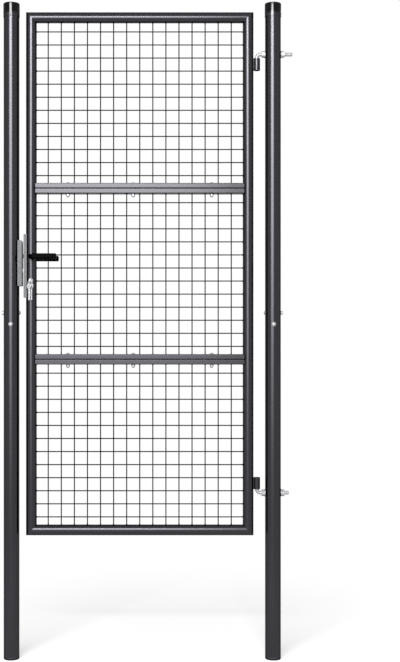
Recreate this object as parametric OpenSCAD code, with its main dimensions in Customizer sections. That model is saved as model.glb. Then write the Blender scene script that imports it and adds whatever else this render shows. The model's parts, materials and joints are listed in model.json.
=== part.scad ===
// Mesh garden gate: one leaf of round tube and welded wire mesh between two round posts.
// Millimetres. The origin is the middle of the hinge post's foot, +X runs to the right seen
// from the front, +Y runs to the back and +Z is up. The leaf is drawn closed.

/* [Posts] */
// Distance between the centres of the two posts
post_pitch = 1000; // [900:10:1300]
// Height from the feet to the top of the caps
gate_h = 2507; // [2490:1:2800]
// Outer diameter of a post
post_d = 60; // [54:1:66]
// Wall of a post
post_wall = 1.5; // [1:0.1:3]
// Height of the joint between the two lengths of a post
post_joint_z = 1301; // [1200:1:1380]
// Length of the spigot on each side of that joint
post_spigot_l = 60; // [45:1:100]
// Wall of the spigot
spigot_wall = 1.5; // [1:0.1:2.5]
// Distance of each post bolt from the joint
post_bolt_step = 22; // [15:1:30]
// Height of a post cap
cap_h = 54; // [40:1:70]
// Wall of a post cap
cap_wall = 1.2; // [1:0.1:3]
// Rounding of the cap's upper edge
cap_edge_r = 6; // [3:0.5:10]
// Radius of the cap's gently domed top
cap_dome_r = 180; // [120:5:400]
// Thickness of the cap's top
cap_top = 6; // [3:0.5:10]
// Height of the foot plug below the post
foot_h = 10; // [6:1:20]
// Rounding of the foot's lower edge
foot_edge_r = 4; // [2:0.5:5]
// Depth of the foot plug inside the post
foot_plug_l = 25; // [15:1:40]
// Wall of the foot plug
foot_wall = 3; // [2:0.5:4]

/* [Leaf] */
// Height of the leaf
leaf_h = 2000; // [1600:10:2020]
// Height of the leaf's lower edge above the feet
leaf_lift = 472; // [440:1:480]
// Gap between the leaf and the latch post
latch_gap = 25.5; // [24:0.5:30]
// Gap between the leaf and the hinge post
hinge_gap = 44.5; // [43:0.5:60]
// Outer diameter of the frame tube
tube_d = 41; // [36:1:44]
// Wall of the frame tube
tube_wall = 1.5; // [1:0.1:2]
// Length of the spigot on each side of a stile joint
stile_spigot_l = 45; // [30:1:80]

/* [Crossbars] */
// Drop from the top of the leaf to the parting line of the upper crossbar
upper_bar_drop = 674.5; // [650:0.5:690]
// Drop from the top of the leaf to the parting line of the lower crossbar
lower_bar_drop = 1327; // [1300:0.5:1340]
// Depth of a crossbar tube, front to back
bar_depth = 40; // [39:1:50]
// Height of a crossbar tube
bar_h = 20; // [16:1:30]
// Wall of a crossbar tube
bar_wall = 1.5; // [1:0.1:2.5]
// Corner radius of a crossbar tube
bar_corner_r = 3; // [2.6:0.1:5]
// How far the coped ends reach round the stiles
cope = 3; // [2:0.5:8]
// Shank diameter of the crossbar bolts and post bolts
bolt_d = 8; // [6:0.5:10]
// Height of a bolt's domed head
head_h = 5; // [4:0.5:6]
// Height of a bolt's nut
bolt_nut_h = 6.5; // [5:0.5:8]
// Free end of a post bolt past its nut
bolt_end = 2; // [1:0.5:4]

/* [Mesh] */
// Pitch of the mesh wires
mesh_pitch = 50; // [40:1:60]
// Wire diameter across the corners
wire_d = 4; // [3:0.1:6]
// Depth of the weld where two wires cross
weld_sink = 0.6; // [0.4:0.1:1]
// Drop from a rail or crossbar to the first wire below it
first_wire_drop = 33; // [30:0.5:45]
// Least clear space beside a stile
side_space_min = 30; // [20:1:40]
// Least clear space above a crossbar or rail
foot_space_min = 20; // [15:1:25]

/* [Hinges] */
// Drop from the top of the leaf to the upper barrel, and rise from its foot to the lower one
hinge_inset = 177; // [150:1:260]
// Length of a hinge barrel
barrel_l = 45; // [35:1:60]
// Outer diameter of a hinge barrel
barrel_d = 25; // [23:0.5:27]
// Diameter of the hook rod
rod_d = 14; // [12:0.5:15]
// Radius of the hook's bend, to the middle of the rod
hook_bend_r = 14; // [12:0.5:15]
// Length of pin inside a barrel
pin_l = 40; // [30:1:45]
// Chamfer on the ends of a hook
pin_tip = 2; // [1:0.5:3]
// Reach of the upper hook past the middle of the post
upper_tail = 74; // [60:1:100]
// Reach of the lower hook past the middle of the post
lower_tail = 60; // [56:1:100]
// Lift left between the upper barrel and its hook
lift_play = 2; // [1:0.5:5]
// Height of a hook nut
nut_h = 10; // [6:0.5:11]
// Width across the flats of a hook nut
nut_af = 22; // [20:0.5:24]
// Thickness of a hook washer
washer_t = 3; // [2:0.5:4]
// Diameter of a hook washer
washer_d = 28; // [26:0.5:32]

/* [Lock] */
// Height of the handle spindle above the lower crossbar's parting line
spindle_rise = 390; // [300:0.5:500]
// Distance from the spindle down to the key cylinder
cylinder_drop = 90; // [90:1:100]
// Distance from the spindle up to the latch bolt
latch_rise = 5; // [0:0.5:6]
// Distance from the spindle down to the deadbolt
deadbolt_drop = 51; // [48:0.5:62]
// Height of the fore-end
fore_h = 242; // [240:1:280]
// Distance from the spindle down to the middle of the fore-end
fore_drop = 33; // [30:1:40]
// Width of the fore-end
fore_w = 24; // [22:0.5:24]
// Distance of the fore-end's face from the stile
fore_out = 8.5; // [7:0.5:10]
// Thickness of the fore-end sheet
fore_wall = 2; // [1.5:0.1:2.5]
// Height of the lock case
case_h = 200; // [190:1:220]
// How far the case reaches past the middle of the stile
case_reach = 13.5; // [11:0.5:14]
// Width of the latch bolt and the deadbolt
bolt_w = 11; // [8:0.5:12]
// Height of the latch bolt
latch_h = 16; // [14:1:24]
// Height of the deadbolt
deadbolt_h = 16; // [14:1:20]
// How far both bolts stand out of the fore-end
bolt_proud = 3.5; // [2:0.1:4]
// Wall between the latch bolt's pocket and the spindle's hole
pocket_wall = 1.5; // [1:0.1:2]
// Travel of the deadbolt
deadbolt_throw = 7; // [5:0.5:8]
// How far short of the stile's middle the thrown deadbolt's tail ends
thrown_short = 2; // [0:0.5:6]

/* [Handle and keys] */
// Side of the square spindle
spindle_s = 8; // [7:0.5:8]
// Distance of the levers from the middle of the leaf
lever_y = 61; // [55:1:75]
// Length of a lever from its spindle
lever_l = 100; // [85:1:130]
// Height of a lever
lever_h = 21; // [15:0.5:24]
// Depth of a lever
lever_t = 14; // [12:0.5:16]
// Rounding along a lever
lever_r = 5; // [3:0.5:6]
// Diameter of a lever's neck
neck_d = 17; // [15:0.5:20]
// Radius of a lever's elbow, to the middle of its neck
elbow_r = 10.5; // [10.5:0.5:15]
// Reach of the key cylinder to each side of the leaf's middle
cylinder_reach = 27; // [22:0.5:30]
// Diameter of the key cylinder's round part
profile_d = 17; // [16.5:0.1:17.5]
// Width of the key cylinder's lower part
profile_w = 10; // [9.5:0.1:10.5]
// Drop from the round part's middle to that of the lower end
profile_drop = 19.5; // [18:0.5:21]
// Diameter of the turning plug
plug_d = 13; // [12:0.5:14]
// Distance of the plug's inner end from the leaf's middle
plug_back = 3; // [2:0.5:6]
// Depth of the keyway
keyway_l = 12; // [8:0.5:15]
// Thickness of a key
key_t = 2; // [1.6:0.1:2.2]
// Width of a key's blade
blade_w = 8; // [7:0.5:8]
// Diameter of a key's bow
bow_d = 22; // [20:0.5:23]
// Diameter of the hole in a bow
bow_hole_d = 7; // [6.8:0.1:8]
// Rim between that hole and the edge of the bow
bow_rim = 2.5; // [2:0.1:3]
// Free length between the bow and the lock
key_stem = 6; // [4:0.5:10]
// Length of the point on a blade
blade_tip = 3; // [2:0.5:5]
// Spacing of the cuts in a hanging key's blade
cut_pitch = 4; // [3.8:0.1:5]
// Length of a hanging key's blade
blade_l = 44; // [30:1:48]
// Radius of the key ring to the middle of its wire
ring_r = 8; // [8:0.1:9]
// Wire of the key ring
ring_wire = 1.6; // [1.4:0.1:1.8]

/* [Keeper] */
// Height of the keeper on the latch post
keeper_h = 173; // [150:1:200]
// Width of the keeper
keeper_w = 50; // [46:1:52]
// Depth of the keeper's front and rear flanges
keeper_flange = 16.2; // [14:0.1:18]
// Sheet thickness of the keeper
keeper_wall = 3; // [2:0.1:3]
// Gap between the keeper and the fore-end
keeper_gap = 5.4; // [5:0.1:7]
// Distance from the spindle down to the middle of the keeper
keeper_drop = 23; // [20:1:30]
// Distance of the keeper bolts from its middle
keeper_bolt_step = 70; // [60:1:74]
// Height of a keeper bolt's head
keeper_head_h = 4; // [3:0.5:5]
// Length of a keeper bolt inside the post
keeper_bolt_l = 8; // [5:1:12]

/* [Clearances] */
// Gap between pieces that are welded, bolted or pushed together
seat_gap = 0.2; // [0.1:0.05:0.3]
// Gap round pieces that slide in a pocket
slide_gap = 0.3; // [0.2:0.05:0.5]
// Radial clearance of a pin or plug that turns in its bore
run_gap = 0.08; // [0.03:0.01:0.1]
// Extra diameter of a hole that a bolt or rod passes through
hole_extra = 0.6; // [0.4:0.1:1]
// Gap between a lever's neck and the stile
neck_gap = 0.5; // [0.3:0.1:1]

/* [Hidden] */
$fn = 64;

anthracite = "#3c3b42";
black_plastic = "#141416";
zinc = "#bfc2c6";
galvanised = "#a6a8ab";
nickel = "#d0d0d2";

post_r = post_d / 2;
tube_r = tube_d / 2;
latch_post_x = -post_pitch;
leaf_right = -post_r - hinge_gap;
leaf_left = latch_post_x + post_r + latch_gap;
leaf_w = leaf_right - leaf_left;
leaf_cx = (leaf_left + leaf_right) / 2;
leaf_top = leaf_lift + leaf_h;
hinge_stile_x = leaf_right - tube_r;
latch_stile_x = leaf_left + tube_r;
clear_w = leaf_w - 2 * tube_d;
upper_part_z = leaf_top - upper_bar_drop;
lower_part_z = leaf_top - lower_bar_drop;

// Bolts of the crossbars sit midway between two wires
bolt_cells = [-5.5, -0.5, 5.5];
head_d = 2.2 * bolt_d;
bolt_nut_af = 1.625 * bolt_d;

// Cap and foot
cap_gap = seat_gap / 2;
post_top = gate_h - cap_top - seat_gap;

// Hinge line
hinge_x = leaf_right + barrel_d / 2 + seat_gap;
upper_barrel_z = leaf_top - hinge_inset - barrel_l;
lower_barrel_z = leaf_lift + hinge_inset;
upper_arm_z = upper_barrel_z + barrel_l + lift_play + hook_bend_r;
lower_arm_z = lower_barrel_z - seat_gap - hook_bend_r;

// Lock
spindle_z = lower_part_z + spindle_rise;
cylinder_z = spindle_z - cylinder_drop;
latch_z = spindle_z + latch_rise;
deadbolt_z = spindle_z - deadbolt_drop;
fore_z = spindle_z - fore_drop;
fore_face_x = leaf_left - fore_out;
case_w = fore_w - 2 * fore_wall - 2 * seat_gap;
case_left = fore_face_x + fore_wall + seat_gap;
case_right = latch_stile_x + case_reach;
spindle_bore = spindle_s * sqrt(2) + 2 * slide_gap;
latch_tail = latch_stile_x - spindle_bore / 2 - pocket_wall - slide_gap - bolt_proud;
deadbolt_tail = latch_stile_x + deadbolt_throw - thrown_short;

// Reach of the spindle into the levers
spindle_reach = lever_y - elbow_r;

// Euro profile of the key cylinder
plug_depth = cylinder_reach - plug_back;

// Keys
bow_y = -cylinder_reach - key_stem - bow_d / 2;
bow_hole_out = bow_d / 2 - bow_hole_d / 2 - bow_rim;
ring_hole_y = bow_y - bow_hole_out;
ring_top_z = cylinder_z - bow_hole_d / 2 + ring_wire / 2 + seat_gap;
ring_z = ring_top_z - ring_r;
key_cuts = [1.2, 1.8, 1.4, 1.9, 1.1, 1.6];
hang_angle = 33;
hang_twist = 45;

// Keeper
keeper_z = spindle_z - keeper_drop;
keeper_right = fore_face_x - keeper_gap;
keeper_left = keeper_right - keeper_flange;
keeper_web = latch_post_x + post_r + seat_gap + keeper_wall;

// Shapes that repeat

// Right half of a round shell that stands on the axis
module shell_section(r, wall, z0, z1) {
    translate([r - wall, z0]) square([wall, z1 - z0]);
}

// A tube that stands on z0 and carries a spigot of length l past z1
module spigot_tube(r, wall, z0, z1, l) {
    inside = r - wall;
    spigot = inside - seat_gap;
    rotate_extrude() polygon([
        [inside, z0], [r, z0], [r, z1], [spigot, z1], [spigot, z1 + l],
        [spigot - spigot_wall, z1 + l], [spigot - spigot_wall, z1 - l], [inside, z1 - l]
    ]);
}

// A plain tube from z0 to z1
module plain_tube(r, wall, z0, z1) {
    rotate_extrude() shell_section(r, wall, z0, z1);
}

// A round hole along X or Y through a tube on the Z axis
module cross_hole(d, z, along_y = false) {
    translate([0, 0, z]) rotate(along_y ? [90, 0, 0] : [0, 90, 0])
        cylinder(d = d, h = 2 * post_d, center = true);
}

// Rectangle with round corners, centred
module round_rect(w, h, r) {
    square([w - 2 * r, h], center = true);
    square([w, h - 2 * r], center = true);
    for (x = [-1, 1], y = [-1, 1])
        translate([x * (w / 2 - r), y * (h / 2 - r)]) circle(r);
}

// Domed bolt head that stands on z = 0
module dome(d, h) {
    ball_r = (d * d / 4 + h * h) / (2 * h);
    rotate_extrude() intersection() {
        square([d / 2, h]);
        translate([0, h - ball_r]) circle(ball_r);
    }
}

// Bolt along +Z: domed head below z = 0, nut above z = grip, free end past the nut
module clamp_bolt(grip, end) {
    rotate([180, 0, 0]) dome(head_d, head_h);
    cylinder(d = bolt_d, h = grip + bolt_nut_h + end);
    translate([0, 0, grip])
        cylinder(d = bolt_nut_af / cos(30), h = bolt_nut_h, $fn = 6);
}

// Half space beyond the mitre of the leaf's upper left corner, on the rail's or the stile's side
module mitre_side(rail_side) {
    m = tube_d;
    far = rail_side ? [tube_d + m, m] : [-m, -tube_d - m];
    shift = (rail_side ? -1 : 1) * seat_gap / 2;
    translate([0, 0, shift]) rotate([90, 0, 0])
        linear_extrude(height = 2 * tube_d, center = true)
        polygon([[-m, m], [tube_d + m, -tube_d - m], far]);
}

// Puts the upper left corner's shapes at any corner of the leaf
module at_corner(right, bottom) {
    translate([right ? leaf_right : leaf_left, 0, bottom ? leaf_lift : leaf_top])
        mirror([right ? 1 : 0, 0, 0]) mirror([0, 0, bottom ? 1 : 0]) children();
}

// Posts

module post_lower(x) {
    translate([x, 0, 0])
        spigot_tube(post_r, post_wall, foot_h, post_joint_z, post_spigot_l);
}

module post_upper(x) {
    translate([x, 0, 0])
        plain_tube(post_r, post_wall, post_joint_z + seat_gap, post_top);
}

// Bolt holes of a post joint: one along X above it, one along Y below it
module post_bolt_holes(x) {
    translate([x, 0, 0]) {
        cross_hole(bolt_d + hole_extra, post_joint_z + post_bolt_step);
        cross_hole(bolt_d + hole_extra, post_joint_z - post_bolt_step, true);
    }
}

// Holes for the two hooks in the hinge post
module hook_holes() {
    for (z = [upper_arm_z, lower_arm_z]) cross_hole(rod_d + hole_extra, z);
}

module hinge_post_lower() {
    color(anthracite) difference() {
        post_lower(0);
        post_bolt_holes(0);
        hook_holes();
    }
}

module hinge_post_upper() {
    color(anthracite) difference() {
        post_upper(0);
        post_bolt_holes(0);
        hook_holes();
    }
}

// Holes for the keeper's bolts in the side of the latch post
module keeper_holes() {
    for (side = [-1, 1])
        translate([latch_post_x, 0, keeper_z + side * keeper_bolt_step]) rotate([0, 90, 0])
            cylinder(d = bolt_d + hole_extra, h = post_d);
}

module latch_post_lower() {
    color(anthracite) difference() {
        post_lower(latch_post_x);
        post_bolt_holes(latch_post_x);
        keeper_holes();
    }
}

module latch_post_upper() {
    color(anthracite) difference() {
        post_upper(latch_post_x);
        post_bolt_holes(latch_post_x);
        keeper_holes();
    }
}

// Cap pushed over the post, with a rounded edge and a gently domed top
module post_cap(x) {
    inner_r = post_r + cap_gap;
    outer_r = inner_r + cap_wall;
    color(black_plastic) translate([x, 0, gate_h - cap_h]) rotate_extrude() difference() {
        intersection() {
            union() {
                square([outer_r, cap_h - cap_edge_r]);
                square([outer_r - cap_edge_r, cap_h]);
                translate([outer_r - cap_edge_r, cap_h - cap_edge_r]) circle(cap_edge_r);
            }
            translate([0, -cap_h]) square([outer_r, 3 * cap_h]);
            translate([0, cap_h - cap_dome_r]) circle(cap_dome_r, $fn = 256);
        }
        translate([0, -cap_h]) square([inner_r, 2 * cap_h - cap_top]);
    }
}

// Foot plug: a round flange with a hollow plug inside the tube
module post_foot(x) {
    plug_r = post_r - post_wall - seat_gap;
    color(black_plastic) translate([x, 0, 0]) rotate_extrude() difference() {
        union() {
            translate([0, foot_edge_r]) square([post_r, foot_h - foot_edge_r]);
            square([post_r - foot_edge_r, foot_h]);
            translate([post_r - foot_edge_r, foot_edge_r]) circle(foot_edge_r);
            square([plug_r, foot_h + foot_plug_l]);
        }
        translate([0, foot_wall]) square([plug_r - foot_wall, foot_h + foot_plug_l]);
        translate([-post_d, 0]) square([post_d, foot_h + foot_plug_l]);
    }
}

module hinge_post_cap() { post_cap(0); }
module latch_post_cap() { post_cap(latch_post_x); }
module hinge_post_foot() { post_foot(0); }
module latch_post_foot() { post_foot(latch_post_x); }

// One bolt along X with its nut outside, one along Y with its head in front, on each post
module post_bolts() {
    grip = post_d + 2 * seat_gap;
    color(zinc) for (post = [[0, 1], [latch_post_x, -1]]) translate([post[0], 0, post_joint_z]) {
        translate([-post[1] * grip / 2, 0, post_bolt_step])
            rotate([0, post[1] * 90, 0]) clamp_bolt(grip, bolt_end);
        translate([0, -grip / 2, -post_bolt_step]) rotate([-90, 0, 0]) clamp_bolt(grip, bolt_end);
    }
}

// Hinge hooks: a bent rod with its pin down in the upper barrel or up in the lower one

module hook(tail) {
    straight = tail - hinge_x - hook_bend_r;
    translate([hinge_x + hook_bend_r, 0, -hook_bend_r])
        mirror([1, 0, 0]) rotate([90, 0, 0]) rotate_extrude(angle = 90)
        translate([hook_bend_r, 0]) circle(d = rod_d);
    translate([hinge_x + hook_bend_r, 0, 0]) rotate([0, 90, 0]) {
        cylinder(d = rod_d, h = straight - pin_tip);
        translate([0, 0, straight - pin_tip])
            cylinder(d1 = rod_d, d2 = rod_d - 2 * pin_tip, h = pin_tip);
    }
    translate([hinge_x, 0, -hook_bend_r]) rotate([180, 0, 0]) {
        cylinder(d = rod_d, h = pin_l - pin_tip);
        translate([0, 0, pin_l - pin_tip])
            cylinder(d1 = rod_d, d2 = rod_d - 2 * pin_tip, h = pin_tip);
    }
}

module upper_hinge_hook() {
    color(zinc) translate([0, 0, upper_arm_z]) hook(upper_tail);
}

module lower_hinge_hook() {
    color(zinc) translate([0, 0, lower_arm_z]) mirror([0, 0, 1]) hook(lower_tail);
}

// A washer and a nut on each side of the hinge post, on both hooks
module hook_nuts() {
    color(zinc) for (z = [upper_arm_z, lower_arm_z], side = [-1, 1])
        translate([side * (post_r + seat_gap), 0, z]) rotate([0, side * 90, 0]) difference() {
            union() {
                cylinder(d = washer_d, h = washer_t);
                translate([0, 0, washer_t])
                    cylinder(d = nut_af / cos(30), h = nut_h, $fn = 6);
            }
            cylinder(d = rod_d + 2 * seat_gap, h = 3 * (washer_t + nut_h), center = true);
        }
}

// Keeper: a channel open towards the leaf, its web saddled to the round post
module keeper() {
    color(galvanised) difference() {
        translate([keeper_left, -keeper_w / 2, keeper_z - keeper_h / 2])
            cube([keeper_flange, keeper_w, keeper_h]);
        translate([keeper_web, -keeper_w / 2 + keeper_wall, keeper_z - keeper_h])
            cube([keeper_flange, keeper_w - 2 * keeper_wall, 2 * keeper_h]);
        translate([latch_post_x, 0, keeper_z])
            cylinder(r = post_r + seat_gap, h = 2 * keeper_h, center = true);
        keeper_holes();
    }
}

module keeper_bolts() {
    shank = keeper_wall + post_wall + keeper_bolt_l;
    color(zinc) for (side = [-1, 1])
        translate([keeper_web + seat_gap, 0, keeper_z + side * keeper_bolt_step])
            rotate([0, 90, 0]) {
                dome(1.8 * bolt_d, keeper_head_h);
                translate([0, 0, -shank]) cylinder(d = bolt_d, h = shank);
            }
}

// Leaf frame

module rail(bottom) {
    z = bottom ? leaf_lift + tube_r : leaf_top - tube_r;
    color(anthracite) difference() {
        translate([leaf_left, 0, z]) rotate([0, 90, 0])
            plain_tube(tube_r, tube_wall, 0, leaf_w);
        at_corner(false, bottom) mitre_side(false);
        at_corner(true, bottom) mitre_side(false);
    }
}

module top_rail() { rail(false); }
module bottom_rail() { rail(true); }

module stile_top(right) {
    color(anthracite) difference() {
        translate([right ? hinge_stile_x : latch_stile_x, 0, 0])
            plain_tube(tube_r, tube_wall, upper_part_z + seat_gap, leaf_top);
        at_corner(right, false) mitre_side(true);
    }
}

module stile_middle(right) {
    color(anthracite) translate([right ? hinge_stile_x : latch_stile_x, 0, 0])
        spigot_tube(tube_r, tube_wall, lower_part_z + seat_gap, upper_part_z, stile_spigot_l);
}

module stile_bottom(right) {
    color(anthracite) difference() {
        translate([right ? hinge_stile_x : latch_stile_x, 0, 0])
            spigot_tube(tube_r, tube_wall, leaf_lift, lower_part_z, stile_spigot_l);
        at_corner(right, true) mitre_side(true);
    }
}

module hinge_stile_top() { stile_top(true); }
module hinge_stile_middle() { stile_middle(true); }
module hinge_stile_bottom() { stile_bottom(true); }
module latch_stile_top() { stile_top(false); }
module latch_stile_bottom() { stile_bottom(false); }

// The latch stile's middle length is cut out for the lock
module latch_stile_middle() {
    color(anthracite) difference() {
        stile_middle(false);
        translate([latch_stile_x - tube_d, -case_w / 2 - seat_gap, fore_z - case_h / 2 - seat_gap])
            cube([tube_d, case_w + 2 * seat_gap, case_h + 2 * seat_gap]);
        translate([latch_stile_x, 0, spindle_z]) rotate([90, 0, 0])
            cylinder(d = spindle_bore, h = 2 * tube_d, center = true);
        translate([latch_stile_x, 0, cylinder_z]) cylinder_shape(tube_d, seat_gap);
    }
}

// Crossbars: two flat tubes on top of each other, coped round the stiles

module crossbar_tube(z) {
    reach = clear_w / 2 + cope;
    color(anthracite) difference() {
        translate([leaf_cx - reach, 0, z]) rotate([90, 0, 90])
            linear_extrude(height = 2 * reach) difference() {
                round_rect(bar_depth, bar_h - seat_gap, bar_corner_r);
                round_rect(bar_depth - 2 * bar_wall, bar_h - seat_gap - 2 * bar_wall,
                    bar_corner_r - bar_wall);
            }
        for (x = [hinge_stile_x, latch_stile_x])
            translate([x, 0, z]) cylinder(r = tube_r + seat_gap, h = 2 * bar_h, center = true);
        for (k = bolt_cells)
            translate([leaf_cx + k * mesh_pitch, 0, z])
                cylinder(d = bolt_d + hole_extra, h = 2 * bar_h, center = true);
    }
}

module upper_crossbar_top_tube() { crossbar_tube(upper_part_z + bar_h / 2); }
module upper_crossbar_bottom_tube() { crossbar_tube(upper_part_z - bar_h / 2); }
module lower_crossbar_top_tube() { crossbar_tube(lower_part_z + bar_h / 2); }
module lower_crossbar_bottom_tube() { crossbar_tube(lower_part_z - bar_h / 2); }

// Upright bolts that hold each pair of crossbar tubes together, with a dome nut below
module crossbar_bolts() {
    grip = 2 * bar_h + 2 * seat_gap;
    color(zinc) for (z = [upper_part_z, lower_part_z], k = bolt_cells)
        translate([leaf_cx + k * mesh_pitch, 0, z + grip / 2]) rotate([180, 0, 0]) {
            clamp_bolt(grip, 0);
            translate([0, 0, grip + bolt_nut_h]) dome(bolt_nut_af, bolt_nut_af / 2);
        }
}

// Mesh: upright wires in front, level wires behind, sunk into each other where they cross

module mesh_panel(z_top, z_bottom) {
    flat = wire_d / 2 * cos(30);
    offset_y = flat - weld_sink / 2;
    side_wires = floor((clear_w / 2 - side_space_min) / mesh_pitch);
    height = z_top - z_bottom;
    level_wires = floor((height - first_wire_drop - foot_space_min) / mesh_pitch);
    color(anthracite) {
        for (i = [-side_wires : side_wires])
            translate([leaf_cx + i * mesh_pitch, -offset_y, z_bottom + seat_gap])
                cylinder(d = wire_d, h = height - 2 * seat_gap, $fn = 6);
        for (i = [0 : level_wires])
            translate([leaf_cx, offset_y, z_top - first_wire_drop - i * mesh_pitch])
                rotate([0, 90, 0])
                cylinder(d = wire_d, h = clear_w - 2 * seat_gap, center = true, $fn = 6);
    }
}

module top_mesh_panel() { mesh_panel(leaf_top - tube_d, upper_part_z + bar_h); }
module middle_mesh_panel() { mesh_panel(upper_part_z - bar_h, lower_part_z + bar_h); }
module bottom_mesh_panel() { mesh_panel(lower_part_z - bar_h, leaf_lift + tube_d); }

// Hinge barrels, welded to the side of the hinge stile
module hinge_barrel(z) {
    color(anthracite) translate([hinge_x, 0, z]) difference() {
        cylinder(d = barrel_d, h = barrel_l);
        translate([0, 0, -barrel_l])
            cylinder(d = rod_d + 2 * run_gap, h = 3 * barrel_l);
    }
}

module upper_hinge_barrel() { hinge_barrel(upper_barrel_z); }
module lower_hinge_barrel() { hinge_barrel(lower_barrel_z); }

// Lock

// Euro profile along Y, to the given reach on both sides and grown all round
module cylinder_shape(reach, grow) {
    rotate([90, 0, 0]) linear_extrude(height = 2 * reach, center = true) {
        circle(d = profile_d + 2 * grow);
        translate([-profile_w / 2 - grow, -profile_drop])
            square([profile_w + 2 * grow, profile_drop]);
        translate([0, -profile_drop]) circle(d = profile_w + 2 * grow);
    }
}

// Pocket of a sliding bolt, open to the left
module bolt_pocket(z, h, x_end) {
    translate([fore_face_x - tube_d, -bolt_w / 2 - slide_gap, z - h / 2 - slide_gap])
        cube([x_end - fore_face_x + tube_d, bolt_w + 2 * slide_gap, h + 2 * slide_gap]);
}

module lock_pockets() {
    bolt_pocket(latch_z, latch_h, latch_tail + bolt_proud + slide_gap);
    bolt_pocket(deadbolt_z, deadbolt_h, deadbolt_tail + slide_gap);
}

// Fore-end: a shallow channel whose legs end on the round stile
module lock_fore_end() {
    color(galvanised) difference() {
        translate([fore_face_x, -fore_w / 2, fore_z - fore_h / 2])
            cube([tube_r + fore_out, fore_w, fore_h]);
        translate([fore_face_x + fore_wall, -fore_w / 2 + fore_wall, fore_z - fore_h])
            cube([tube_d, fore_w - 2 * fore_wall, 2 * fore_h]);
        translate([latch_stile_x, 0, fore_z])
            cylinder(r = tube_r + seat_gap, h = 2 * fore_h, center = true);
        lock_pockets();
    }
}

module lock_case() {
    color(galvanised) difference() {
        translate([case_left, -case_w / 2, fore_z - case_h / 2])
            cube([case_right - case_left, case_w, case_h]);
        lock_pockets();
        translate([latch_stile_x, 0, spindle_z]) rotate([90, 0, 0])
            cylinder(d = spindle_bore, h = 2 * case_w, center = true);
        translate([latch_stile_x, 0, cylinder_z]) cylinder_shape(tube_d, seat_gap);
    }
}

module lock_cylinder() {
    color(nickel) difference() {
        translate([latch_stile_x, 0, cylinder_z]) cylinder_shape(cylinder_reach, 0);
        translate([latch_stile_x, -cylinder_reach + plug_depth, cylinder_z]) rotate([90, 0, 0])
            cylinder(d = plug_d + 2 * run_gap, h = 2 * cylinder_reach);
    }
}

// Latch bolt with a bevelled nose
module latch_bolt() {
    tip = fore_face_x - bolt_proud;
    color(zinc) translate([0, 0, latch_z - latch_h / 2]) linear_extrude(height = latch_h)
        polygon([
            [latch_tail, -bolt_w / 2], [latch_tail, bolt_w / 2], [tip, bolt_w / 2],
            [tip, bolt_w / 4], [fore_face_x, -bolt_w / 2]
        ]);
}

module deadbolt() {
    tip = fore_face_x - bolt_proud;
    color(zinc) translate([tip, -bolt_w / 2, deadbolt_z - deadbolt_h / 2])
        cube([deadbolt_tail - tip, bolt_w, deadbolt_h]);
}

// Handle

module spindle() {
    color(zinc) translate([latch_stile_x, 0, spindle_z])
        cube([spindle_s, 2 * spindle_reach, spindle_s], center = true);
}

// Front lever: a round neck on the spindle, bent to the right into a taller soft-edged grip
module lever() {
    socket = spindle_s + 2 * seat_gap;
    neck_y = -tube_r - neck_gap;
    grip_x = elbow_r - lever_r;
    translate([latch_stile_x, 0, spindle_z]) difference() {
        union() {
            translate([0, neck_y, 0]) rotate([90, 0, 0])
                cylinder(d = neck_d, h = spindle_reach + neck_y);
            translate([elbow_r, -spindle_reach, 0]) rotate([0, 0, 180])
                rotate_extrude(angle = 90) translate([elbow_r, 0]) circle(d = neck_d);
            intersection() {
                translate([(grip_x + lever_l) / 2, -lever_y, 0]) rotate([90, 0, 0])
                    linear_extrude(height = 2 * lever_t, center = true)
                    round_rect(lever_l - grip_x, lever_h, lever_r);
                translate([0, -lever_y, 0]) rotate([90, 0, 90]) linear_extrude(height = 2 * lever_l)
                    round_rect(lever_t, lever_h, lever_r);
            }
        }
        cube([socket, 2 * (spindle_reach + seat_gap), socket], center = true);
    }
}

module front_lever() { color(black_plastic) lever(); }
module rear_lever() { color(black_plastic) mirror([0, 1, 0]) lever(); }

// Keys

module cylinder_plug() {
    color(nickel) translate([latch_stile_x, 0, cylinder_z]) difference() {
        translate([0, -cylinder_reach + plug_depth - seat_gap, 0]) rotate([90, 0, 0])
            cylinder(d = plug_d, h = plug_depth);
        translate([0, -cylinder_reach, 0])
            cube([key_t + 2 * seat_gap, 2 * keyway_l, blade_w + 2 * seat_gap], center = true);
    }
}

// A key in the YZ plane, its blade along +Y from the bow's middle, with cuts or plain
module key_blank(blade, cuts) {
    end = bow_d / 2 + blade;
    rotate([90, 0, 90]) linear_extrude(height = key_t, center = true) difference() {
        union() {
            circle(d = bow_d);
            polygon([
                [0, -blade_w / 2], [end - blade_tip, -blade_w / 2], [end, 0],
                [end - blade_tip, blade_w / 2], [0, blade_w / 2]
            ]);
        }
        translate([-bow_hole_out, 0]) circle(d = bow_hole_d);
        for (i = [0 : 1 : len(cuts) - 1])
            translate([end - blade_tip - (i + 1) * cut_pitch, blade_w / 2])
                rotate(45) square(cuts[i] * sqrt(2), center = true);
    }
}

module lock_key() {
    color(nickel) translate([latch_stile_x, bow_y, cylinder_z])
        key_blank(-cylinder_reach + keyway_l - seat_gap - bow_y - bow_d / 2, []);
}

module key_ring() {
    color(nickel) translate([latch_stile_x, ring_hole_y, ring_z]) rotate([90, 0, 0])
        rotate_extrude() translate([ring_r, 0]) circle(d = ring_wire);
}

// Two keys that hang on the ring, blades down
module hanging_keys() {
    color(nickel) for (side = [-1, 1])
        translate([latch_stile_x + side * ring_r * sin(hang_angle), ring_hole_y,
                ring_z - ring_r * cos(hang_angle) - bow_hole_out])
            rotate([0, 0, hang_twist]) rotate([-90, 0, 0]) key_blank(blade_l, key_cuts);
}

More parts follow.
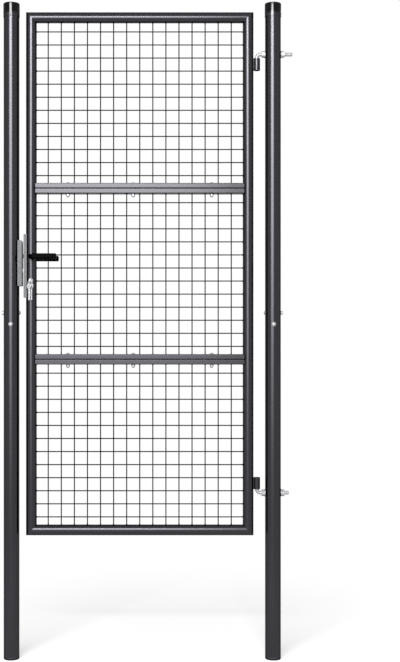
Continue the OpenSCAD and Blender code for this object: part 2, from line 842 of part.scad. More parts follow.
hinge_post_lower();
hinge_post_upper();
hinge_post_cap();
hinge_post_foot();
latch_post_lower();
latch_post_upper();
latch_post_cap();
latch_post_foot();
post_bolts();
upper_hinge_hook();
lower_hinge_hook();
hook_nuts();
keeper();
keeper_bolts();
top_rail();
bottom_rail();
hinge_stile_top();
hinge_stile_middle();
hinge_stile_bottom();
latch_stile_top();
latch_stile_middle();
latch_stile_bottom();
upper_crossbar_top_tube();
upper_crossbar_bottom_tube();
lower_crossbar_top_tube();
lower_crossbar_bottom_tube();
crossbar_bolts();
top_mesh_panel();
middle_mesh_panel();
bottom_mesh_panel();
upper_hinge_barrel();
lower_hinge_barrel();
lock_fore_end();
lock_case();
lock_cylinder();
front_lever();
rear_lever();
spindle();
latch_bolt();
deadbolt();
cylinder_plug();
lock_key();
key_ring();
hanging_keys();
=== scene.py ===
# %% [markdown]
# # A mesh garden gate, dressed in Blender
# The gate is a leaf of round tube and welded wire mesh between two round posts. Its solids come
# from CAD as a fixed frame. This lesson adds what a plain solid lacks: round mesh wires with their
# weld spots, weld beads, threads, screws, and a finish for every surface.

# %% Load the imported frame
import json
import math

import bmesh
import bpy
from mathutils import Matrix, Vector


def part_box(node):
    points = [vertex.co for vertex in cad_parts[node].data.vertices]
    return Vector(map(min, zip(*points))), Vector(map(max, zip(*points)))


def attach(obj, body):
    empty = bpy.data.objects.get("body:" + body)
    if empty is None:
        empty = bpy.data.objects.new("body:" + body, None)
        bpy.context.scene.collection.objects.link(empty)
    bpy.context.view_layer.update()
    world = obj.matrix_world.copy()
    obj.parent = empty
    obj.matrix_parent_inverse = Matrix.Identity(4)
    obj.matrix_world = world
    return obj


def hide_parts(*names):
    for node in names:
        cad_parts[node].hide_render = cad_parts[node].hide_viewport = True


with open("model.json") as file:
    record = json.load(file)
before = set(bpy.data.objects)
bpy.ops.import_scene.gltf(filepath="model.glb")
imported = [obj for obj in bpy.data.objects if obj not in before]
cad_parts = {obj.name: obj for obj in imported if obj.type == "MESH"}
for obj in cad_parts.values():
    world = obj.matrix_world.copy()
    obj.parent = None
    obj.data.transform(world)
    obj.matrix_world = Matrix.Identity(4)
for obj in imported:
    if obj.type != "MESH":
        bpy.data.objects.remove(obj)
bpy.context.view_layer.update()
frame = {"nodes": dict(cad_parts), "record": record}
nodes = frame["nodes"]

# %% [markdown]
# ## Camera
# The picture shows the gate square on, with upright lines that stay parallel, so the camera looks
# level along +Y. It stands a little over four metres away, a little below half the gate's height
# and opposite the middle of the leaf: the rear lever peeps out under the front one, which fixes
# that height. The gate sits left of the middle of the picture, which a sideways shift gives without
# turning the camera.

# %% Place the camera
PICTURE_W = 400
PICTURE_H = 662
VIEW_HEIGHT = 2.5328
CAMERA_AT = Vector((-0.486, -4.4, 1.173))
CENTRE_PX = (145.9, 352.0)
SENSOR_H = 36
SIGHT_LIMIT = 200

camera_data = bpy.data.cameras.new("camera")
camera = bpy.data.objects.new("camera", camera_data)
bpy.context.scene.collection.objects.link(camera)
bpy.context.scene.camera = camera
camera.location = CAMERA_AT
camera.rotation_euler = (math.radians(90), 0, 0)
camera_data.sensor_fit = "VERTICAL"
camera_data.sensor_height = SENSOR_H
camera_data.lens = SENSOR_H * -CAMERA_AT.y / VIEW_HEIGHT
camera_data.shift_x = (PICTURE_W / 2 - CENTRE_PX[0]) / PICTURE_H
camera_data.shift_y = (CENTRE_PX[1] - PICTURE_H / 2) / PICTURE_H
camera_data.clip_end = SIGHT_LIMIT
print("lens", round(camera_data.lens, 2), "shift", round(camera_data.shift_x, 4))

# %% [markdown]
# ## Light
# A glossy tube shows a stripe: the image of the lamp that lights it. On the real gate the stripes are
# broad, bright at the top, and fade towards the feet. So a wall of soft boxes stands in front, a
# little to the left. Its width sets the width of the stripes, and each box is brighter than the one
# below it. A slim bright box hangs before the wall at the height that the post caps mirror, because
# their glints are the brightest spots on the gate.

# %% Stack the soft boxes
WALL_X = -1.8
WALL_Y = -6.6
WALL_W = 4.3
WALL_H = 5.0
WALL_LIFT = 0.05
BOXES = 8
TOP_WATTS = 165
DIMMING = 1.15
GATE_X = -0.5


def soft_box(name, place, width, height, watts):
    """A rectangular lamp that faces the gate at its own height."""
    data = bpy.data.lights.new(name, "AREA")
    data.shape = "RECTANGLE"
    data.size = width
    data.size_y = height
    data.energy = watts
    lamp = bpy.data.objects.new(name, data)
    lamp.location = place
    target = Vector((GATE_X, 0, place[2]))
    lamp.rotation_euler = (target - Vector(place)).to_track_quat("-Z", "Y").to_euler()
    lamp.visible_camera = False
    bpy.context.scene.collection.objects.link(lamp)


for row in range(BOXES):
    share = (row + 0.5) / BOXES
    rise = WALL_LIFT + WALL_H * share
    watts = TOP_WATTS * share ** DIMMING
    soft_box(f"soft_box_{row + 1}", (WALL_X, WALL_Y, rise), WALL_W, WALL_H / BOXES, watts)
print("soft boxes:", BOXES)

# %% Hang the slim box for the caps
GLINT_Z = 4.46
GLINT_W = 3.0
GLINT_H = 0.14
GLINT_WATTS = 58
GLINT_AHEAD = 0.05

soft_box("glint_box", (WALL_X, WALL_Y + GLINT_AHEAD, GLINT_Z), GLINT_W, GLINT_H, GLINT_WATTS)

# %% [markdown]
# ## Room and floor
# The background is white. The world shows white to the camera and to mirror-like surfaces, while a
# dimmer grey lights the gate. The floor is pale, keeps a soft shadow, and glows a little for the
# same rays. Some way from the gate it turns to plain white, so that it blends into the background.

# %% Make the world
ROOM_LIGHT = 0.03
WHITE_LIGHT = 1.0
SEES_WHITE = ["Is Camera Ray", "Is Glossy Ray", "Is Transmission Ray"]


def add_node(tree, kind, **values):
    """Adds a shader node and sets its properties."""
    node = tree.nodes.new(kind)
    for key, value in values.items():
        setattr(node, key, value)
    return node


def seen_directly(tree):
    """A mask of the rays that should see the white background."""
    path = add_node(tree, "ShaderNodeLightPath")
    mask = path.outputs[SEES_WHITE[0]]
    for kind in SEES_WHITE[1:]:
        both = add_node(tree, "ShaderNodeMath", operation="MAXIMUM")
        tree.links.new(mask, both.inputs[0])
        tree.links.new(path.outputs[kind], both.inputs[1])
        mask = both.outputs[0]
    return mask


world = bpy.data.worlds.new("studio")
bpy.context.scene.world = world
world.use_nodes = True
tree = world.node_tree
tree.nodes.clear()
white_or_room = add_node(tree, "ShaderNodeMix", data_type="FLOAT")
white_or_room.inputs["A"].default_value = ROOM_LIGHT
white_or_room.inputs["B"].default_value = WHITE_LIGHT
tree.links.new(seen_directly(tree), white_or_room.inputs["Factor"])
background = add_node(tree, "ShaderNodeBackground")
background.inputs["Color"].default_value = (1, 1, 1, 1)
tree.links.new(white_or_room.outputs[0], background.inputs["Strength"])
output = add_node(tree, "ShaderNodeOutputWorld")
tree.links.new(background.outputs[0], output.inputs["Surface"])
bpy.context.scene.view_settings.view_transform = "Standard"
print("world:", world.name)

# %% Lay the floor
FLOOR_SIZE = 60
FLOOR_DROP = 0.0003


def clear_selection():
    """Back to object mode with nothing selected."""
    if bpy.context.mode != "OBJECT":
        bpy.ops.object.mode_set(mode="OBJECT")
    bpy.ops.object.select_all(action="DESELECT")


clear_selection()
bpy.ops.mesh.primitive_plane_add(size=FLOOR_SIZE, location=(GATE_X, 0, -FLOOR_DROP))
floor = bpy.context.object
floor.name = "floor"
print("floor:", FLOOR_SIZE, "m")

# %% Paint the floor
FLOOR_PALE = (0.9, 0.9, 0.9, 1)
FLOOR_BOUNCE = (0.08, 0.08, 0.08, 1)
GLOW_NEAR = 0.62
GLOW_FAR = 0.95
GLOW_REACH = 3.8
WHITE_FROM_TO = (0.8, 2.4)


def eased(tree, value, low, high, first, last):
    """Turns a value from low to high into one from first to last, with soft ends."""
    ramp = add_node(tree, "ShaderNodeMapRange", interpolation_type="SMOOTHSTEP")
    for label, number in (("From Min", low), ("From Max", high), ("To Min", first), ("To Max", last)):
        ramp.inputs[label].default_value = number
    tree.links.new(value, ramp.inputs["Value"])
    return ramp.outputs["Result"]


def object_place(tree):
    """The place on the piece, in the piece's own coordinates."""
    return add_node(tree, "ShaderNodeTexCoord").outputs["Object"]


floor_paint = bpy.data.materials.new("floor_paint")
floor_paint.use_nodes = True
tree = floor_paint.node_tree
tree.nodes.clear()
bounce = add_node(tree, "ShaderNodeBsdfDiffuse")
bounce.inputs["Color"].default_value = FLOOR_BOUNCE
pale = add_node(tree, "ShaderNodeBsdfDiffuse")
pale.inputs["Color"].default_value = FLOOR_PALE
length = add_node(tree, "ShaderNodeVectorMath", operation="LENGTH")
tree.links.new(object_place(tree), length.inputs[0])
away = length.outputs["Value"]
glow = add_node(tree, "ShaderNodeEmission")
tree.links.new(eased(tree, away, 0, GLOW_REACH, GLOW_NEAR, GLOW_FAR), glow.inputs["Strength"])
near = add_node(tree, "ShaderNodeAddShader")
tree.links.new(pale.outputs[0], near.inputs[0])
tree.links.new(glow.outputs[0], near.inputs[1])
white = add_node(tree, "ShaderNodeEmission")
white.inputs["Strength"].default_value = WHITE_LIGHT
lit = add_node(tree, "ShaderNodeMixShader")
tree.links.new(eased(tree, away, *WHITE_FROM_TO, 0, 1), lit.inputs["Fac"])
tree.links.new(near.outputs[0], lit.inputs[1])
tree.links.new(white.outputs[0], lit.inputs[2])
choice = add_node(tree, "ShaderNodeMixShader")
tree.links.new(seen_directly(tree), choice.inputs["Fac"])
tree.links.new(bounce.outputs[0], choice.inputs[1])
tree.links.new(lit.outputs[0], choice.inputs[2])
output = add_node(tree, "ShaderNodeOutputMaterial")
tree.links.new(choice.outputs[0], output.inputs["Surface"])
floor.data.materials.append(floor_paint)
print("floor paint:", len(tree.nodes), "shader nodes")

# %% [markdown]
# ## Shared surface effects
# Paint, plastic and plated steel are never quite even. Two node groups carry what they share:
# `mottle` gives slow changes of tone and gloss, and `grain` gives the fine unevenness that a bump
# turns into the skin of powder paint, moulded plastic or rolled steel. Each finish uses them
# with its own scale.

# %% Build the group for tone
CLOUD_DETAIL = 4
CLOUD_MIDDLE = 0.5


def new_group(name, inputs, output):
    """A shader node group with named sockets: itself, its inputs, its output and the place."""
    group = bpy.data.node_groups.new(name, "ShaderNodeTree")
    for label, value in inputs:
        socket = group.interface.new_socket(label, in_out="INPUT", socket_type="NodeSocketFloat")
        socket.default_value = value
    group.interface.new_socket(output, in_out="OUTPUT", socket_type="NodeSocketFloat")
    start = add_node(group, "NodeGroupInput")
    end = add_node(group, "NodeGroupOutput")
    return group, start.outputs, end.inputs[output], object_place(group)


mottle, given, tone_out, place = new_group("mottle", [("Scale", 40.0), ("Depth", 0.1)], "Tone")
cloud = add_node(mottle, "ShaderNodeTexNoise")
cloud.inputs["Detail"].default_value = CLOUD_DETAIL
spread = add_node(mottle, "ShaderNodeMath", operation="SUBTRACT")
spread.inputs[1].default_value = CLOUD_MIDDLE
tone = add_node(mottle, "ShaderNodeMath", operation="MULTIPLY_ADD")
tone.inputs[2].default_value = 1.0
mottle.links.new(place, cloud.inputs["Vector"])
mottle.links.new(given["Scale"], cloud.inputs["Scale"])
mottle.links.new(cloud.outputs[0], spread.inputs[0])
mottle.links.new(spread.outputs[0], tone.inputs[0])
mottle.links.new(given["Depth"], tone.inputs[1])
mottle.links.new(tone.outputs[0], tone_out)
print("group:", mottle.name)

# %% Build the group for skin
FINE_SHARE = 0.3

grain, given, height_out, place = new_group("grain", [("Scale", 600.0), ("Fine", 4.0)], "Height")
coarse = add_node(grain, "ShaderNodeTexNoise")
fine = add_node(grain, "ShaderNodeTexNoise")
finer = add_node(grain, "ShaderNodeMath", operation="MULTIPLY")
blend = add_node(grain, "ShaderNodeMath", operation="MULTIPLY_ADD")
blend.inputs[1].default_value = FINE_SHARE
grain.links.new(place, coarse.inputs["Vector"])
grain.links.new(place, fine.inputs["Vector"])
grain.links.new(given["Scale"], coarse.inputs["Scale"])
grain.links.new(given["Scale"], finer.inputs[0])
grain.links.new(given["Fine"], finer.inputs[1])
grain.links.new(finer.outputs[0], fine.inputs["Scale"])
grain.links.new(fine.outputs[0], blend.inputs[0])
grain.links.new(coarse.outputs[0], blend.inputs[2])
grain.links.new(blend.outputs[0], height_out)
print("group:", grain.name)

# %% [markdown]
# ## Finishes
# Every finish starts from one recipe: a Principled shader whose colour and roughness drift with
# `mottle` and whose skin comes from `grain`. The tubes carry a dark metallic-effect powder paint
# under a thin clear film. So Metallic is on, with a dark edge tint, because the real tubes get
# darker and not lighter towards their edges, and a light coat gives the stripe its bright core.

# %% Write the recipe for a finish
SKIN_DEPTH = 0.0004


def finish(name, colour, roughness, metal, drift, skin, specular=0.5, edge=1.0, film=(0.0, 0.1)):
    """A Principled material with drift (scale, depth), skin (scale, height), film (weight, roughness)."""
    material = bpy.data.materials.new(name)
    material.use_nodes = True
    tree = material.node_tree
    shader = tree.nodes["Principled BSDF"]
    shader.inputs["Metallic"].default_value = metal
    shader.inputs["Specular IOR Level"].default_value = specular
    shader.inputs["Specular Tint"].default_value = (edge, edge, edge, 1)
    shader.inputs["Coat Weight"].default_value = film[0]
    shader.inputs["Coat Roughness"].default_value = film[1]
    tones = add_node(tree, "ShaderNodeGroup", node_tree=mottle)
    tones.inputs["Scale"].default_value = drift[0]
    tones.inputs["Depth"].default_value = drift[1]
    tint = add_node(tree, "ShaderNodeVectorMath", operation="SCALE", name="tint")
    tint.inputs[0].default_value = colour
    tree.links.new(tones.outputs["Tone"], tint.inputs["Scale"])
    tree.links.new(tint.outputs[0], shader.inputs["Base Color"])
    gloss = add_node(tree, "ShaderNodeMath", operation="MULTIPLY", name="gloss")
    gloss.inputs[1].default_value = roughness
    tree.links.new(tones.outputs["Tone"], gloss.inputs[0])
    tree.links.new(gloss.outputs[0], shader.inputs["Roughness"])
    bumps = add_node(tree, "ShaderNodeGroup", node_tree=grain)
    bumps.inputs["Scale"].default_value = skin[0]
    relief = add_node(tree, "ShaderNodeBump")
    relief.inputs["Strength"].default_value = skin[1]
    relief.inputs["Distance"].default_value = SKIN_DEPTH
    tree.links.new(bumps.outputs["Height"], relief.inputs["Height"])
    tree.links.new(relief.outputs[0], shader.inputs["Normal"])
    return material


print("recipe:", finish.__name__)

# %% Mix the paints and plastics
PAINT = (0.031, 0.0306, 0.0357)
PAINT_FILM = (0.28, 0.18)
WIRE_PAINT = (0.012, 0.012, 0.014)
CAP_BLACK = (0.001, 0.001, 0.0011)
CAP_FILM = (0.3, 0.04)
LEVER_BLACK = (0.0005, 0.0005, 0.0005)
LEVER_FILM = (0.015, 0.1)
FOOT_GREY = (0.04, 0.039, 0.045)

finishes = {}
finishes["anthracite_paint"] = finish(
    "anthracite_paint", PAINT, roughness=0.22, metal=1, drift=(9, 0.12), skin=(700, 0.06),
    edge=0.0, film=PAINT_FILM,
)
finishes["mesh_paint"] = finish(
    "mesh_paint", WIRE_PAINT, roughness=0.45, metal=1, drift=(60, 0.3), skin=(900, 0.15), edge=0.0,
)
finishes["black_plastic"] = finish(
    "black_plastic", LEVER_BLACK, roughness=0.24, metal=1, drift=(50, 0.2), skin=(1500, 0.03),
    edge=0.0, film=LEVER_FILM,
)
cap_plastic = finish(
    "cap_black", CAP_BLACK, roughness=0.2, metal=1, drift=(50, 0.2), skin=(1500, 0.03),
    edge=0.0, film=CAP_FILM,
)
foot_plastic = finish(
    "foot_plastic", FOOT_GREY, roughness=0.5, metal=1, drift=(30, 0.2), skin=(900, 0.1), edge=0.0,
)
print("paints:", list(finishes), cap_plastic.name, foot_plastic.name)

# %% Mix the plated metals
ZINC = (0.5, 0.505, 0.52)
GALVANISED = (0.172, 0.175, 0.179)
NICKEL = (0.78, 0.79, 0.81)
SATIN_NICKEL = (0.36, 0.365, 0.375)

finishes["zinc"] = finish(
    "zinc", ZINC, roughness=0.35, metal=0.4, drift=(120, 0.35), skin=(1200, 0.08),
    specular=0.4, edge=0.0,
)
galvanised = finish(
    "galvanised_steel", GALVANISED, roughness=0.6, metal=0.4, drift=(90, 0.4), skin=(500, 0.12),
    specular=0.15,
)
finishes["galvanised_steel"] = galvanised
finishes["nickel"] = finish(
    "nickel", NICKEL, roughness=0.34, metal=0.7, drift=(200, 0.3), skin=(2500, 0.05), edge=0.2,
)
satin_nickel = finish(
    "satin_nickel", SATIN_NICKEL, roughness=0.5, metal=0.35, drift=(200, 0.3), skin=(2500, 0.05),
    specular=0.3, edge=0.2,
)
print("finishes:", list(finishes), satin_nickel.name)

# %% [markdown]
# ## Post caps
# A cap is moulded in gloss black, but its skirt, pulled over the tube, is as dull as the paint below
# it. One material shows both: the height on the cap fades the colour and the roughness from the
# skirt's values to those of the dome.

# %% Fade the cap's gloss towards its skirt
SKIRT_Z = (2.458, 2.474)
SKIRT_ROUGH = 0.4


def height_on(tree):
    """The height on the piece."""
    split = add_node(tree, "ShaderNodeSeparateXYZ")
    tree.links.new(object_place(tree), split.inputs[0])
    return split.outputs["Z"]


tree = cap_plastic.node_tree
shader = tree.nodes["Principled BSDF"]
dome = eased(tree, height_on(tree), *SKIRT_Z, 0, 1)
two_tone = add_node(tree, "ShaderNodeMix", data_type="RGBA")
two_tone.inputs["A"].default_value = (*PAINT, 1)
tree.links.new(dome, two_tone.inputs["Factor"])
tree.links.new(tree.nodes["tint"].outputs[0], two_tone.inputs["B"])
tree.links.new(two_tone.outputs["Result"], shader.inputs["Base Color"])
two_gloss = add_node(tree, "ShaderNodeMix", data_type="FLOAT")
two_gloss.inputs["A"].default_value = SKIRT_ROUGH
tree.links.new(dome, two_gloss.inputs["Factor"])
tree.links.new(tree.nodes["gloss"].outputs[0], two_gloss.inputs["B"])
tree.links.new(two_gloss.outputs["Result"], shader.inputs["Roughness"])
print("cap:", cap_plastic.name)

# %% [markdown]
# ## Post feet
# The plug under a post ends in a rounded flange. Its upper edge, which meets the tube, has a painted
# highlight, and the rounding below has painted shade. Height on the plug scales the plastic's tone.

# %% Paint a highlight on the edge of the feet and shade below it
# Heights and tone factors of the painted shade below and the painted highlight above.
FOOT_HIGHLIGHT_AND_SHADE_Z = (0.0065, 0.0085)
FOOT_HIGHLIGHT_AND_SHADE_TONES = (0.6, 1.8)


def scale_tint(material, factor):
    """Multiplies a finish's tint by a factor that changes over the surface."""
    tree = material.node_tree
    scaled = add_node(tree, "ShaderNodeVectorMath", operation="SCALE")
    tree.links.new(tree.nodes["tint"].outputs[0], scaled.inputs[0])
    tree.links.new(factor, scaled.inputs["Scale"])
    tree.links.new(scaled.outputs[0], tree.nodes["Principled BSDF"].inputs["Base Color"])


tree = foot_plastic.node_tree
# Painted shade darkens the rounding at the bottom of the foot, and a painted highlight lightens the edge
# above it.
scale_tint(foot_plastic, eased(tree, height_on(tree), *FOOT_HIGHLIGHT_AND_SHADE_Z, *FOOT_HIGHLIGHT_AND_SHADE_TONES))
print("painted_highlight_and_shade_on:", foot_plastic.name)

# %% [markdown]
# ## Galvanised sheet
# Hot zinc freezes on steel sheet in flat crystals, the spangle, which differ a little in brightness.
# Voronoi cells of a few millimetres, each with its own tone, stand for the crystals.

# %% Grow the spangle
SPANGLE_SCALE = 220
SPANGLE_TONES = (0.9, 1.12)

tree = galvanised.node_tree
crystals = add_node(tree, "ShaderNodeTexVoronoi")
crystals.inputs["Scale"].default_value = SPANGLE_SCALE
tree.links.new(object_place(tree), crystals.inputs["Vector"])
shade = add_node(tree, "ShaderNodeSeparateColor")
tree.links.new(crystals.outputs["Color"], shade.inputs[0])
scale_tint(galvanised, eased(tree, shade.outputs[0], 0, 1, *SPANGLE_TONES))
print("spangle on:", galvanised.name)

# %% [markdown]
# ## Dressing the solids
# The imported record names a material slot for every CAD node, and the slot's finish goes on the node.
# A few nodes differ from their slot's plain finish: the caps with their dull skirt, the feet with
# painted highlight and shade, and the lock's cylinder, whose brushed face is duller than the keys.

# %% Give every CAD node its finish
slots = {row["node"]: row["material_slot"] for row in frame["record"]["subparts"]}
for node_name, solid in nodes.items():
    solid.data.materials.clear()
    solid.data.materials.append(finishes[slots[node_name]])
for post in ("hinge_post", "latch_post"):
    nodes[post + "_cap"].data.materials[0] = cap_plastic
    nodes[post + "_foot"].data.materials[0] = foot_plastic
for node_name in ("lock_cylinder", "cylinder_plug"):
    nodes[node_name].data.materials[0] = satin_nickel
print("dressed:", len(slots), "nodes")

# %% [markdown]
# ## Mesh panels
# The infill is wire mesh with 50 mm squares: upright wires in front, level wires behind, spot
# welded where they cross and welded to the frame at their ends. The CAD wires have six sides, which
# is enough for a solid, so rounder wires stand for them here. One wire of each kind is modelled
# from a cylinder, its ends are pulled out into weld feet, and an array copies it.

# %% Write the recipe for a wire
WIRE_R = 0.0022
WIRE_SIDES = 12
FOOT_L = 0.0025
FOOT_FLARE = 1.6
FACING = 0.9


def pick_faces(piece, rule):
    """In edit mode, selects the faces whose normal fits the rule."""
    bpy.ops.mesh.select_all(action="DESELECT")
    mesh = bmesh.from_edit_mesh(piece.data)
    for face in mesh.faces:
        face.select_set(rule(face.normal))
    bmesh.update_edit_mesh(piece.data)


def welded_wire(length):
    """An upright wire with flared weld feet, centred on the origin."""
    clear_selection()
    bpy.ops.mesh.primitive_cylinder_add(vertices=WIRE_SIDES, radius=WIRE_R, depth=length - 2 * FOOT_L)
    wire = bpy.context.object
    flare = (FOOT_FLARE, FOOT_FLARE, 1)
    bpy.ops.object.mode_set(mode="EDIT")
    for side in (-1, 1):
        pick_faces(wire, lambda normal: normal.z * side > FACING)
        bpy.ops.mesh.extrude_region_move(TRANSFORM_OT_translate={"value": (0, 0, side * FOOT_L)})
        bpy.ops.transform.resize(value=flare, center_override=(0, 0, side * length / 2))
    bpy.ops.object.mode_set(mode="OBJECT")
    return wire


print("wire:", 2 * WIRE_R, "m thick")

# %% Write the recipe for a panel
PITCH = 0.05
WIRE_Y = 0.00143
FIRST_DROP = 0.033
SIDE_MARGIN = 0.03
LAST_MARGIN = 0.0198
SEAT = 0.0002
SPOT_R = 0.0026
SPOT_FLAT = 0.85
BALL = {"segments": 8, "ring_count": 5}


def apply_place():
    """Puts the active piece's place into its mesh."""
    bpy.ops.object.transform_apply(location=True, rotation=True, scale=True)


def repeat(piece, count, step):
    """Copies the active piece in a row and applies the array."""
    row = piece.modifiers.new("row", "ARRAY")
    row.count = count
    row.use_relative_offset = False
    row.use_constant_offset = True
    row.constant_offset_displace = step
    bpy.ops.object.modifier_apply(modifier=row.name)


def join_pieces(pieces):
    """Joins pieces into the first of them."""
    clear_selection()
    for piece in pieces:
        piece.select_set(True)
    bpy.context.view_layer.objects.active = pieces[0]
    bpy.ops.object.join()
    return pieces[0]


def across(node_name):
    """The middle and the half width of a node from left to right."""
    low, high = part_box(node_name)
    return (low[0] + high[0]) / 2, (high[0] - low[0]) / 2


def mesh_panel(node_name):
    """Round wires and weld spots in the place of a CAD panel."""
    low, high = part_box(node_name)
    centre_x, half_w = across(node_name)
    sides = int((half_w - SIDE_MARGIN) / PITCH)
    columns = 2 * sides + 1
    left = centre_x - sides * PITCH
    top = high[2] + SEAT - FIRST_DROP
    rows = int((top - low[2] - LAST_MARGIN) / PITCH) + 1
    upright = welded_wire(high[2] - low[2])
    upright.location = (left, -WIRE_Y, (low[2] + high[2]) / 2)
    apply_place()
    repeat(upright, columns, (PITCH, 0, 0))
    level = welded_wire(2 * half_w)
    level.location = (centre_x, WIRE_Y, top)
    level.rotation_euler = (0, math.radians(90), 0)
    apply_place()
    repeat(level, rows, (0, 0, -PITCH))
    clear_selection()
    bpy.ops.mesh.primitive_uv_sphere_add(radius=SPOT_R, location=(left, 0, top), **BALL)
    spot = bpy.context.object
    spot.scale = (1, SPOT_FLAT, 1)
    apply_place()
    repeat(spot, columns, (PITCH, 0, 0))
    repeat(spot, rows, (0, 0, -PITCH))
    print(node_name, columns, "uprights", rows, "level wires")
    return join_pieces([upright, level, spot])


print("panel: squares of", PITCH, "m")

# %% Put the panels in the leaf
SMOOTH_ANGLE = math.radians(40)


def make_active(piece):
    """Selects one piece alone."""
    clear_selection()
    piece.select_set(True)
    bpy.context.view_layer.objects.active = piece


def settle(piece, name, body, slot):
    """Names a finished piece, smooths it, dresses it and lets it move with its body."""
    make_active(piece)
    bpy.ops.object.shade_smooth_by_angle(angle=SMOOTH_ANGLE)
    piece.name = name
    piece.data.name = name
    piece.data.materials.clear()
    piece.data.materials.append(finishes[slot])
    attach(piece, body)


for place_name in ("top", "middle", "bottom"):
    node_name = place_name + "_mesh_panel"
    panel = mesh_panel(node_name)
    settle(panel, place_name + "_wires", "leaf", "mesh_paint")
    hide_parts(node_name)

# %% [markdown]
# ## Weld beads
# The hinge barrels and the crossbars are welded to the stiles. A bead laid by hand is a row of
# overlapping drops of melted steel. So small spheres are set along the seam in edit mode, a voxel
# remesh melts them into one skin, and a Smooth modifier calms it. One bead is modelled for each
# kind of seam and copied to the others.

# %% Write the recipe for a bead
VOXELS_IN_DROP = 5
CALMING = {"factor": 0.5, "iterations": 2}


def apply_modifier(piece, kind, **values):
    """Adds a modifier to the active piece, sets it and applies it."""
    modifier = piece.modifiers.new(kind.lower(), kind)
    for key, value in values.items():
        setattr(modifier, key, value)
    bpy.ops.object.modifier_apply(modifier=modifier.name)


def weld_bead(drops, drop_r):
    """Melts drops of steel at the given places into one bead."""
    clear_selection()
    bpy.ops.mesh.primitive_uv_sphere_add(radius=drop_r, location=drops[0], **BALL)
    bead = bpy.context.object
    apply_place()
    bpy.ops.object.mode_set(mode="EDIT")
    for drop in drops[1:]:
        bpy.ops.mesh.primitive_uv_sphere_add(radius=drop_r, location=drop, **BALL)
    bpy.ops.object.mode_set(mode="OBJECT")
    apply_modifier(bead, "REMESH", mode="VOXEL", voxel_size=drop_r / VOXELS_IN_DROP)
    apply_modifier(bead, "SMOOTH", **CALMING)
    return bead


def join_copies(piece, moves):
    """Copies a piece by each move and joins the copies with it."""
    copies = []
    for move in moves:
        make_active(piece)
        bpy.ops.object.duplicate(linked=False)
        bpy.ops.transform.translate(value=move)
        apply_place()
        copies.append(bpy.context.object)
    return join_pieces([piece] + copies)


print("bead recipe:", weld_bead.__name__)

# %% Weld the hinge barrels on
BARREL_DROP_R = 0.0034
BARREL_DROP_STEP = 0.0023
SUNK = 0.4

stile_x, stile_r = across("hinge_stile_top")
barrel_x, barrel_r = across("upper_hinge_barrel")
upper_low, upper_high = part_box("upper_hinge_barrel")
lower_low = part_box("lower_hinge_barrel")[0]
apart = barrel_x - stile_x
to_stile = stile_r + SUNK * BARREL_DROP_R
to_barrel = barrel_r + SUNK * BARREL_DROP_R
along = (to_stile ** 2 - to_barrel ** 2 + apart ** 2) / (2 * apart)
aside = math.sqrt(to_stile ** 2 - along ** 2)
count = int((upper_high[2] - upper_low[2] - 2 * BARREL_DROP_R) / BARREL_DROP_STEP) + 1
first = upper_low[2] + BARREL_DROP_R
drops = [(stile_x + along, -aside, first + i * BARREL_DROP_STEP) for i in range(count)]
bead = weld_bead(drops, BARREL_DROP_R)
down = lower_low[2] - upper_low[2]
barrel_welds = join_copies(bead, [(0, 2 * aside, 0), (0, 0, down), (0, 2 * aside, down)])
settle(barrel_welds, "barrel_welds", "leaf", "anthracite_paint")
print("barrel welds:", count, "drops each,", len(barrel_welds.data.polygons), "faces")

# %% Weld the crossbars on
LEAF_STILES = [("hinge_stile_top", -1), ("latch_stile_top", 1)]
SEAM_DROP_R = 0.002
SEAM_OUT = 0.0006
SEAM_HALF = math.radians(30)
SEAM_DROPS = 17

bar_low, bar_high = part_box("upper_crossbar_top_tube")
under_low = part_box("upper_crossbar_bottom_tube")[0]
next_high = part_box("lower_crossbar_top_tube")[1]
seam_down = under_low[2] - bar_high[2]
bar_down = next_high[2] - bar_high[2]
seam_moves = [(0, 0, seam_down), (0, 0, bar_down), (0, 0, seam_down + bar_down)]
seams = []
for stile_name, inward in LEAF_STILES:
    stile_x, stile_r = across(stile_name)
    reach = stile_r + SEAM_OUT
    drops = []
    for i in range(SEAM_DROPS):
        turn = SEAM_HALF * (2 * i / (SEAM_DROPS - 1) - 1)
        drops.append((stile_x + inward * reach * math.cos(turn), reach * math.sin(turn), bar_high[2]))
    seams.append(join_copies(weld_bead(drops, SEAM_DROP_R), seam_moves))
crossbar_welds = join_pieces(seams)
settle(crossbar_welds, "crossbar_welds", "leaf", "anthracite_paint")
print("crossbar welds:", len(crossbar_welds.data.polygons), "faces")

# %% [markdown]
# ## Corner welds
# The ends of a crossbar tube are cut to the round of the stile. In front and behind, a small corner
# stays open between the flat side of the tube and the stile, and the welder fills it from top to
# bottom. The bead recipe gives one such fill for each stile, and its copies close the other corners
# of the four tubes.

# %% Fill the corners beside the stiles
FILL_DROP_R = 0.0042
FILL_STEP = 0.0026
BAR_WALL = 0.002
FILL_OUT = 0.0008

fill_drops = int((bar_high[2] - bar_low[2] - 2 * FILL_DROP_R) / FILL_STEP) + 1
lowest = (bar_low[2] + bar_high[2] - (fill_drops - 1) * FILL_STEP) / 2
tube_down = under_low[2] - bar_low[2]
tube_downs = [0, tube_down, bar_down, bar_down + tube_down]
fills = []
for stile_name, inward in LEAF_STILES:
    stile_x, stile_r = across(stile_name)
    end_x = bar_low[0] if inward > 0 else bar_high[0]
    stile_side = math.sqrt(stile_r ** 2 - (end_x - stile_x) ** 2)
    aside = (stile_side + bar_high[1] - BAR_WALL) / 2
    drops = [(end_x - inward * FILL_OUT, -aside, lowest + i * FILL_STEP) for i in range(fill_drops)]
    fill_moves = [(0, back, down) for back in (0, 2 * aside) for down in tube_downs]
    fills.append(join_copies(weld_bead(drops, FILL_DROP_R), fill_moves[1:]))
corner_welds = join_pieces(fills)
settle(corner_welds, "corner_welds", "leaf", "anthracite_paint")
print("corner welds:", len(corner_welds.data.polygons), "faces")

# %% [markdown]
# ## Threads
# The hooks are held by nuts, so the free end of each arm is threaded. The CAD arm is a plain rod.
# A triangle beside the rod, swept round it by the Screw modifier, gives the ridge of the thread.

